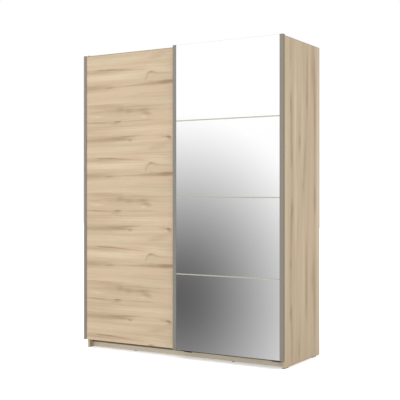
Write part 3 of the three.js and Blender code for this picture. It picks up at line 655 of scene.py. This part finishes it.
def dress_frame():
    """Gives every CAD node its material and its rounded edges."""
    flat_oak = oak("flat_oak", "X", "Y", "Z")
    # The plinth's copy of the oak carries painted light, to lift the shade under the doors.
    plinth_oak_painted_light = oak("plinth_oak_painted_light", "X", "Z", "Y", painted_light_wash=PLINTH_PAINTED_LIGHT)
    for door in DOORS:
        board = f"{door}_board"
        dress([board], door_oak(board), 0.5 * MM)
    dress(named("side_panel", "centre_partition"), upright_oak(), 0.6 * MM)
    dress(named("top_panel", "bottom_panel", "_shelf"), flat_oak, 0.6 * MM)
    dress(named("plinth_front", "plinth_rear"), plinth_oak_painted_light, 0.6 * MM)
    dress(named("mirror_pane"), mirror_glass(), 0.6 * MM)
    dress(named("mirror_divider"), DIVIDER, 0.2 * MM)
    dress(named("_profile_"), PROFILE, 0.4 * MM)
    dress(["top_track"], mill_aluminium(), 0.25 * MM)
    dress(["bottom_track"], BROWN_AND_SHADE, 0.25 * MM)
    dress(named("wall_bracket"), ZINC, 0.5 * MM)
    dress(named("hanging_rail", "rail_socket"), CHROME, 0.3 * MM)
    dress(named("_guide_", "track_stop"), BLACK, 0.5 * MM)
    dress(named("glide"), GREY, 0.6 * MM)
    dress(named("back_panel"), back_sheet(), 0.3 * MM)


# ---- Mesh helpers ----

def mesh_object(name, shape, material, body, bevel=None):
    """An object from a bmesh, riding on a body."""
    bmesh.ops.recalc_face_normals(shape, faces=shape.faces)
    mesh = bpy.data.meshes.new(name)
    shape.to_mesh(mesh)
    shape.free()
    mesh.materials.append(material)
    mesh.polygons.foreach_set("use_smooth", [True] * len(mesh.polygons))
    obj = bpy.data.objects.new(name, mesh)
    scene.collection.objects.link(obj)
    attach(obj, body)
    if bevel:
        soften(obj, bevel)
    else:
        obj.modifiers.new("smooth", "NODES").node_group = SMOOTHING
    return obj


def towards(place, axis):
    """A matrix that puts local Z along the axis at the place."""
    turn = Vector((0, 0, 1)).rotation_difference(Vector(axis)).to_matrix().to_4x4()
    return Matrix.Translation(place) @ turn


def ring_of(shape, matrix, radius, height, sides):
    """Vertices in a circle about the local Z axis, or one vertex where the radius is nought."""
    if radius < 1e-7:
        return [shape.verts.new(matrix @ Vector((0, 0, height)))]
    turns = [2 * math.pi * (i + 0.5) / sides for i in range(sides)]
    places = [Vector((radius * math.cos(turn), radius * math.sin(turn), height)) for turn in turns]
    return [shape.verts.new(matrix @ place) for place in places]


def bridge(shape, rings, sides):
    """Faces between rings of vertices, where a ring of one vertex is a tip."""
    for lower, upper in zip(rings, rings[1:]):
        for i in range(sides):
            j = (i + 1) % sides
            bottom = [lower[i % len(lower)], lower[j % len(lower)]]
            top = [upper[j % len(upper)], upper[i % len(upper)]]
            shape.faces.new(list(dict.fromkeys(bottom + top)))


def lathe(shape, profile, matrix, sides=32):
    """Turns (radius, height) points about the local Z axis. They end on the axis or close on themselves."""
    rings = [ring_of(shape, matrix, radius, height, sides) for radius, height in profile]
    if profile[0][0] > 1e-7:
        rings.append(rings[0])
    bridge(shape, rings, sides)


def block(shape, low, high):
    """A block between two corners."""
    size = Vector(high) - Vector(low)
    middle = (Vector(high) + Vector(low)) / 2
    bmesh.ops.create_cube(shape, size=1.0, matrix=Matrix.Translation(middle) @ Matrix.Diagonal((*size, 1.0)))


def screw_head(shape, place, axis, radius=SCREW_RADIUS, rise=0.42):
    """A domed head with a cross recess, standing at the place. The rise is a share of the radius."""
    matrix = towards(place, axis)
    sides, rings = 48, 12
    height = rise * radius
    arm, reach, depth = 0.14 * radius, 0.60 * radius, 0.8 * height

    def surface(x, y):
        dome = height * math.sqrt(1 - 0.7 * (math.hypot(x, y) / radius) ** 2)
        thin, long = sorted((abs(x), abs(y)))
        return dome - depth if thin < arm and long < reach else dome

    loops = [ring_of(shape, matrix, 0.0, height - depth, sides)]
    for ring in range(1, rings + 1):
        loop = ring_of(shape, Matrix.Identity(4), radius * ring / rings, 0.0, sides)
        for vertex in loop:
            x, y = vertex.co.x, vertex.co.y
            vertex.co = matrix @ Vector((x, y, surface(x, y)))
        loops.append(loop)
    loops.append(ring_of(shape, matrix, radius, 0.0, sides))
    loops.append(ring_of(shape, matrix, 0.0, 0.0, sides))
    bridge(shape, loops, sides)


def rounded(path, radius, steps=6):
    """A path with its square corners replaced by quarter circles."""
    points = [Vector(path[0])]
    for before, here, after in zip(path, path[1:], path[2:]):
        inward = (Vector(here) - Vector(before)).normalized() * radius
        outward = (Vector(after) - Vector(here)).normalized() * radius
        centre = Vector(here) - inward + outward
        for step in range(steps + 1):
            turn = math.pi / 2 * step / steps
            points.append(centre - outward * math.cos(turn) + inward * math.sin(turn))
    return points + [Vector(path[-1])]


def bent_strip(shape, path, x, half_width):
    """A steel strip that follows a path in Y and Z through its middle, with rounded bends, centred on x."""
    points = rounded(path, BEND)
    near, far = [], []
    for i, point in enumerate(points):
        along = (points[min(i + 1, len(points) - 1)] - points[max(i - 1, 0)]).normalized()
        side = Vector((-along.y, along.x)) * STEEL / 2
        near.append(point + side)
        far.append(point - side)
    outline = near + far[::-1]
    left = [shape.verts.new((x - half_width, point.x, point.y)) for point in outline]
    right = [shape.verts.new((x + half_width, point.x, point.y)) for point in outline]
    size, half = len(outline), len(points)
    for i in range(size):
        j = (i + 1) % size
        shape.faces.new((left[i], left[j], right[j], right[i]))
    for edge in (left, right):
        for i in range(half - 1):
            shape.faces.new((edge[i], edge[i + 1], edge[size - 2 - i], edge[size - 1 - i]))


def middle_of(node):
    low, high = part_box(node)
    return (Vector(low) + Vector(high)) / 2


# ---- Running gear ----

def hanger(door, end):
    """The bent steel strip that a door hangs by, with its screws into the back of the door."""
    node = f"{door}_hanger_{end}"
    low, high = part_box(node)
    centre = middle_of(node)
    axle_z = middle_of(f"{door}_axle_{end}").z
    half = STEEL / 2
    path = [
        (low.y + half, low.z),
        (low.y + half, high.z - half),
        (high.y - half, high.z - half),
        (high.y - half, axle_z - LEG_BELOW_AXLE),
    ]
    shape = bmesh.new()
    bent_strip(shape, path, centre.x, (high.x - low.x) / 2)
    strip = mesh_object(f"{node}_strip", shape, ZINC, door, 0.4 * MM)
    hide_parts(node)
    screws = bmesh.new()
    for across in (-HANGER_SCREW_ACROSS, HANGER_SCREW_ACROSS):
        for up in (HANGER_SCREW_LOW, HANGER_SCREW_HIGH):
            screw_head(screws, (centre.x + across, low.y + STEEL, low.z + up), (0, 1, 0))
    mesh_object(f"{node}_screws", screws, ZINC, door)


def axle(door, end):
    """A domed rivet through the hanger, turned down to a collar that keeps the wheel on."""
    node = f"{door}_axle_{end}"
    low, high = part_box(node)
    centre = middle_of(node)
    radius = (high.x - low.x) / 2
    length = high.y - low.y
    turns = [math.pi / 2 * step / 6 for step in range(7)]
    dome = [(radius * math.sin(turn), RIVET_DOME * (1 - math.cos(turn))) for turn in turns]
    profile = dome + [
        (radius, 2.5 * MM),
        (3.0 * MM, 2.5 * MM),
        (3.0 * MM, length - 2.0 * MM),
        (radius, length - 2.0 * MM),
        (radius, length - 0.6 * MM),
        (radius - 0.6 * MM, length),
        (1.6 * MM, length),
        (1.2 * MM, length - 0.5 * MM),
        (0.0, length - 0.5 * MM),
    ]
    shape = bmesh.new()
    lathe(shape, profile, towards((centre.x, low.y, centre.z), (0, 1, 0)))
    rivet = mesh_object(f"{node}_rivet", shape, ZINC, door)
    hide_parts(node)


def mirrored_profile(half, width):
    """A lathe profile that runs through half of a wheel and back out of its other half."""
    return half + [(radius, width - height) for radius, height in reversed(half)]


def tyre(node, matrix, rim, width):
    """The moulded tyre, with a groove round its tread and a recess in each cheek."""
    half = [
        (HUB_RADIUS, 0.0),
        (HUB_RADIUS + 0.8 * MM, 0.0),
        (HUB_RADIUS + 1.2 * MM, CHEEK_RECESS),
        (rim - 2.2 * MM, CHEEK_RECESS),
        (rim - 1.8 * MM, 0.0),
        (rim - 0.6 * MM, 0.0),
        (rim - 0.15 * MM, 0.2 * MM),
        (rim, 0.7 * MM),
        (rim, 1.4 * MM),
        (TREAD_RADIUS + 0.3 * MM, 2.2 * MM),
        (TREAD_RADIUS, 2.6 * MM),
    ]
    shape = bmesh.new()
    lathe(shape, mirrored_profile(half, width), matrix, 48)
    piece = mesh_object(f"{node}_tyre", shape, BLACK, node)
    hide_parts(node)


def bearing(node, matrix, width):
    """The ball bearing that fills the tyre's hub."""
    half = [
        (HUB_RADIUS, 0.3 * MM),
        (RACE_RADIUS, 0.3 * MM),
        (RACE_RADIUS - 0.2 * MM, 0.9 * MM),
        (WHEEL_BORE + 1.4 * MM, 0.9 * MM),
        (WHEEL_BORE + 1.2 * MM, 0.3 * MM),
        (WHEEL_BORE, 0.3 * MM),
    ]
    shape = bmesh.new()
    lathe(shape, mirrored_profile(half, width), matrix, 40)
    mesh_object(f"{node}_bearing", shape, ZINC, node)


def ribs(node, matrix, rim, width):
    """Spokes that stand in the recess of each cheek."""
    length = rim - HUB_RADIUS - 3.0 * MM
    middle = (rim + HUB_RADIUS - 1.0 * MM) / 2
    size = Matrix.Diagonal((length, 0.8 * MM, CHEEK_RECESS, 1.0))
    shape = bmesh.new()
    for i in range(RIBS):
        turn = matrix @ Matrix.Rotation(2 * math.pi / RIBS * i, 4, "Z")
        for face in (0.25 * MM, width - 0.25 * MM - CHEEK_RECESS):
            place = Matrix.Translation((middle, 0, face + CHEEK_RECESS / 2))
            bmesh.ops.create_cube(shape, size=1.0, matrix=turn @ place @ size)
    mesh_object(f"{node}_ribs", shape, BLACK, node)


def wheel(door, end):
    """A tyre with ribbed cheeks, pressed on a ball bearing, in place of the plain CAD wheel."""
    node = f"{door}_wheel_{end}"
    low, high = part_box(node)
    centre = middle_of(node)
    matrix = towards((centre.x, low.y, centre.z), (0, 1, 0))
    rim = (high.x - low.x) / 2
    width = high.y - low.y
    tyre(node, matrix, rim, width)
    bearing(node, matrix, width)
    ribs(node, matrix, rim, width)


def guide_screws(door, end):
    """Two screws through the plate of a bottom guide."""
    node = f"{door}_guide_{end}"
    low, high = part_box(node)
    centre = middle_of(node)
    shape = bmesh.new()
    for across in (-GUIDE_SCREW_ACROSS, GUIDE_SCREW_ACROSS):
        screw_head(shape, (centre.x + across, low.y + STEEL, high.z - GUIDE_SCREW_DROP), (0, 1, 0))
    mesh_object(f"{node}_screws", shape, ZINC, door)


def guide_shoe(node):
    """A moulded shoe under the arm of a front bottom guide, to the right of its middle."""
    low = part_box(node)[0]
    near = Vector((middle_of(node).x - SHOE_OVERHANG, low.y, low.z - SHOE_DEPTH))
    shape = bmesh.new()
    block(shape, near, near + Vector((SHOE_LENGTH, SHOE_WIDTH, SHOE_DEPTH)))
    mesh_object(f"{node}_shoe", shape, BLACK, "right_door", 0.6 * MM)


# ---- Small fittings of the carcass ----

def track_screws():
    """Countersunk screws along both channels of the running track."""
    low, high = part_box("top_track")
    floor_z = low.z + TRACK_FLOOR
    count = 2 * int(high.x / TRACK_SCREW_PITCH) + 1
    shape = bmesh.new()
    for stop in ("track_stop_front_left", "track_stop_rear_left"):
        y = middle_of(stop).y - TRACK_SCREW_ASIDE
        for i in range(count):
            x = (i - count // 2) * TRACK_SCREW_PITCH
            screw_head(shape, (x, y, floor_z), (0, 0, 1), SCREW_RADIUS, 0.22)
    mesh_object("track_screws", shape, ZINC, "carcass")


def bracket_screws():
    """The screw that holds each wall bracket down on the top panel."""
    shape = bmesh.new()
    for node in named("wall_bracket"):
        centre = middle_of(node)
        screw_head(shape, (centre.x, centre.y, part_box(node)[0].z + STEEL), (0, 0, 1))
    mesh_object("bracket_screws", shape, ZINC, "carcass")


def socket_screws():
    """Two screws in the plate of each rail socket, over and under the rail."""
    shape = bmesh.new()
    for node, inward in (("rail_socket_left", 1), ("rail_socket_right", -1)):
        low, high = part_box(node)
        centre = middle_of(node)
        wall = low.x if inward > 0 else high.x
        for up in (-1, 1):
            z = centre.z + up * ((high.z - low.z) / 2 - SOCKET_SCREW_INSET)
            place = (wall + inward * SOCKET_PLATE, centre.y, z)
            screw_head(shape, place, (inward, 0, 0), SMALL_SCREW_RADIUS)
    mesh_object("socket_screws", shape, CHROME, "carcass")


def cam_discs():
    """The cams under the top panel that pull it against its uprights."""
    low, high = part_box("top_panel")
    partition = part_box("centre_partition")[1].x
    shape = bmesh.new()
    for x in (high.x - CAM_INSET, partition + CAM_INSET):
        for side in (-1, 1):
            for y in (low.y + CAM_FRONT_INSET, high.y - CAM_REAR_INSET):
                screw_head(shape, (side * x, y, low.z), (0, 0, -1), CAM_RADIUS, 0.08)
    mesh_object("cam_discs", shape, ZINC, "carcass")


def shelf_pins():
    """Four zinc-plated pins under each shelf, with a collar against the upright."""
    profile = [
        (0.0, 0.0),
        (PIN_RADIUS, 0.0),
        (PIN_RADIUS + 0.4 * MM, 0.1 * MM),
        (PIN_RADIUS + 0.4 * MM, 0.9 * MM),
        (PIN_RADIUS, 1.1 * MM),
        (PIN_RADIUS, PIN_REACH - 0.6 * MM),
        (PIN_RADIUS - 0.5 * MM, PIN_REACH),
        (0.0, PIN_REACH),
    ]
    shape = bmesh.new()
    for shelf in named("_shelf"):
        low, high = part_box(shelf)
        for y in (low.y + PIN_ROW_INSET, high.y - PIN_ROW_INSET):
            for x, inward in ((low.x, 1), (high.x, -1)):
                lathe(shape, profile, towards((x, y, low.z - PIN_DROP), (inward, 0, 0)), 20)
    mesh_object("shelf_pins", shape, ZINC, "carcass")


def nail_places(low, high):
    """Where a back sheet is nailed: down both sides, along its top, and into the bottom panel."""
    rows = int((high.z - low.z) / NAIL_PITCH)
    columns = int((high.x - low.x) / NAIL_PITCH)
    height = high.z - low.z - 2 * NAIL_INSET
    places = []
    for x in (low.x + NAIL_INSET, high.x - NAIL_INSET):
        for i in range(rows + 1):
            places.append((x, low.z + NAIL_INSET + height * i / rows))
    for z in (high.z - NAIL_INSET, middle_of("bottom_panel").z):
        for i in range(columns):
            places.append((low.x + (high.x - low.x) * (i + 0.5) / columns, z))
    return places


def back_nails():
    """Flat nail heads round each back sheet and along the seam between them."""
    head = [
        (0.0, 0.0),
        (NAIL_RADIUS, 0.0),
        (NAIL_RADIUS, 0.25 * MM),
        (NAIL_RADIUS * 0.8, NAIL_RISE),
        (0.0, NAIL_RISE),
    ]
    shape = bmesh.new()
    for node in named("back_panel"):
        low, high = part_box(node)
        for x, z in nail_places(low, high):
            lathe(shape, head, towards((x, high.y, z), (0, 1, 0)), 12)
    mesh_object("back_nails", shape, ZINC, "carcass")


def profile_plugs(door):
    """Plastic plugs that close the chambers of a door's profiles at both ends."""
    shape = bmesh.new()
    for end, outward in (("left", -1), ("right", 1)):
        low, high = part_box(f"{door}_profile_{end}")
        edge = low.x if outward < 0 else high.x
        left, right = sorted(edge - outward * side for side in PLUG_SIDES)
        for base in (low.z + PLUG_SUNK, high.z - PLUG_SUNK - PLUG_DEPTH):
            block(shape, (left, low.y + PLUG_INSET, base), (right, high.y - PLUG_INSET, base + PLUG_DEPTH))
    mesh_object(f"{door}_plugs", shape, BLACK, door, 0.3 * MM)


def add_fittings():
    """Adds what the CAD model leaves out, or keeps plain."""
    for door in DOORS:
        for end in ENDS:
            hanger(door, end)
            axle(door, end)
            wheel(door, end)
            guide_screws(door, end)
        profile_plugs(door)
    for node in named("right_door_guide_"):
        guide_shoe(node)
    track_screws()
    bracket_screws()
    socket_screws()
    cam_discs()
    shelf_pins()
    back_nails()


# ---- Light, floor and camera ----

def mirrored_level(nodes, direction):
    """How bright the studio looks in the mirror: less so below, and with a dim patch low in front."""
    x, y, z = nodes.separate(direction)
    leftward = nodes.math("ARCTAN2", nodes.math("MULTIPLY", x, -1.0), nodes.math("MULTIPLY", y, -1.0))
    azimuth = nodes.math("DEGREES", leftward)
    elevation = nodes.math("DEGREES", nodes.math("ARCSINE", z))
    base = nodes.span(elevation, LOWER_WORLD_FROM, LOWER_WORLD_TO, LOWER_WORLD, 1.0)
    across = nodes.math("DIVIDE", nodes.math("SUBTRACT", azimuth, DIM_PATCH_AZIMUTH), DIM_PATCH_WIDTH)
    up = nodes.math("DIVIDE", nodes.math("SUBTRACT", elevation, DIM_PATCH_ELEVATION), DIM_PATCH_HEIGHT)
    away = nodes.span(nodes.length(nodes.combine(across, up, 0.0)), 0.0, 1.0)
    patch = nodes.math("POWER", nodes.math("SUBTRACT", 1.0, away), DIM_PATCH_FALL)
    return nodes.math("MULTIPLY", base, nodes.math("MULTIPLY_ADD", patch, -DIM_PATCH_DEPTH, 1.0))


def fill_level(nodes, direction):
    """How much light comes from a direction: a little more from the front, the left and above."""
    slope = {0: direction, 1: FRONT_LIGHT}
    towards_front = nodes.add("ShaderNodeVectorMath", slope, operation="DOT_PRODUCT")
    return nodes.math("ADD", towards_front.outputs["Value"], 1.0)


def studio_world():
    """Soft white all round: one light for the boards, another that the mirror and the metal show."""
    world = bpy.data.worlds.new("studio")
    scene.world = world
    world.use_nodes = True
    world.node_tree.nodes.clear()
    nodes = Nodes(world.node_tree)
    direction = nodes.add("ShaderNodeTexCoord").outputs["Generated"]
    mirrored = nodes.background(mirrored_level(nodes, direction), MIRRORED_STRENGTH)
    fill = nodes.background(fill_level(nodes, direction), FILL_STRENGTH)
    seen = nodes.background(WHITE, 1.0)
    ray = nodes.add("ShaderNodeLightPath").outputs
    lit = nodes.mixed_shader(ray["Is Glossy Ray"], fill, mirrored)
    both = nodes.mixed_shader(ray["Is Camera Ray"], lit, seen)
    nodes.add("ShaderNodeOutputWorld", {"Surface": both})


def key_light():
    """A large soft lamp high at the front left, which the mirror doesn't show."""
    light = bpy.data.lights.new("key", "AREA")
    light.energy = KEY_POWER
    light.size = KEY_SIZE
    lamp = bpy.data.objects.new("key", light)
    scene.collection.objects.link(lamp)
    lamp.location = KEY_PLACE
    aim = Vector(KEY_AIM) - Vector(KEY_PLACE)
    lamp.rotation_euler = aim.to_track_quat("-Z", "Y").to_euler()
    lamp.visible_glossy = False


def pale_floor():
    """A wide floor lit a little from below, like a studio table, and hidden from the mirror."""
    shape = bmesh.new()
    bmesh.ops.create_grid(shape, x_segments=8, y_segments=8, size=FLOOR_SIZE / 2)
    mesh = bpy.data.meshes.new("floor")
    shape.to_mesh(mesh)
    shape.free()
    paint = Material("floor", roughness=0.8)
    cloud = paint.noise(paint.place, scale=1.4, detail=3.0)
    paint.set("Base Color", paint.mix(cloud, srgb("f6f6f5"), srgb("faf9f8")))
    paint.set("Emission Color", WHITE)
    paint.set("Emission Strength", FLOOR_GLOW)
    mesh.materials.append(paint.material)
    floor = bpy.data.objects.new("floor", mesh)
    scene.collection.objects.link(floor)
    floor.visible_glossy = False


def make_camera():
    """A level camera to the right of the wardrobe's front."""
    data = bpy.data.cameras.new("camera")
    data.lens = CAMERA_LENS
    data.sensor_width = CAMERA_SENSOR
    data.shift_x, data.shift_y = CAMERA_SHIFT
    camera = bpy.data.objects.new("camera", data)
    scene.collection.objects.link(camera)
    camera.location = CAMERA_PLACE
    camera.rotation_euler = (math.radians(90), 0.0, math.radians(CAMERA_HEADING))
    scene.camera = camera


scene.view_settings.view_transform = "Standard"
studio_world()
key_light()
pale_floor()
make_camera()
dress_frame()
add_fittings()
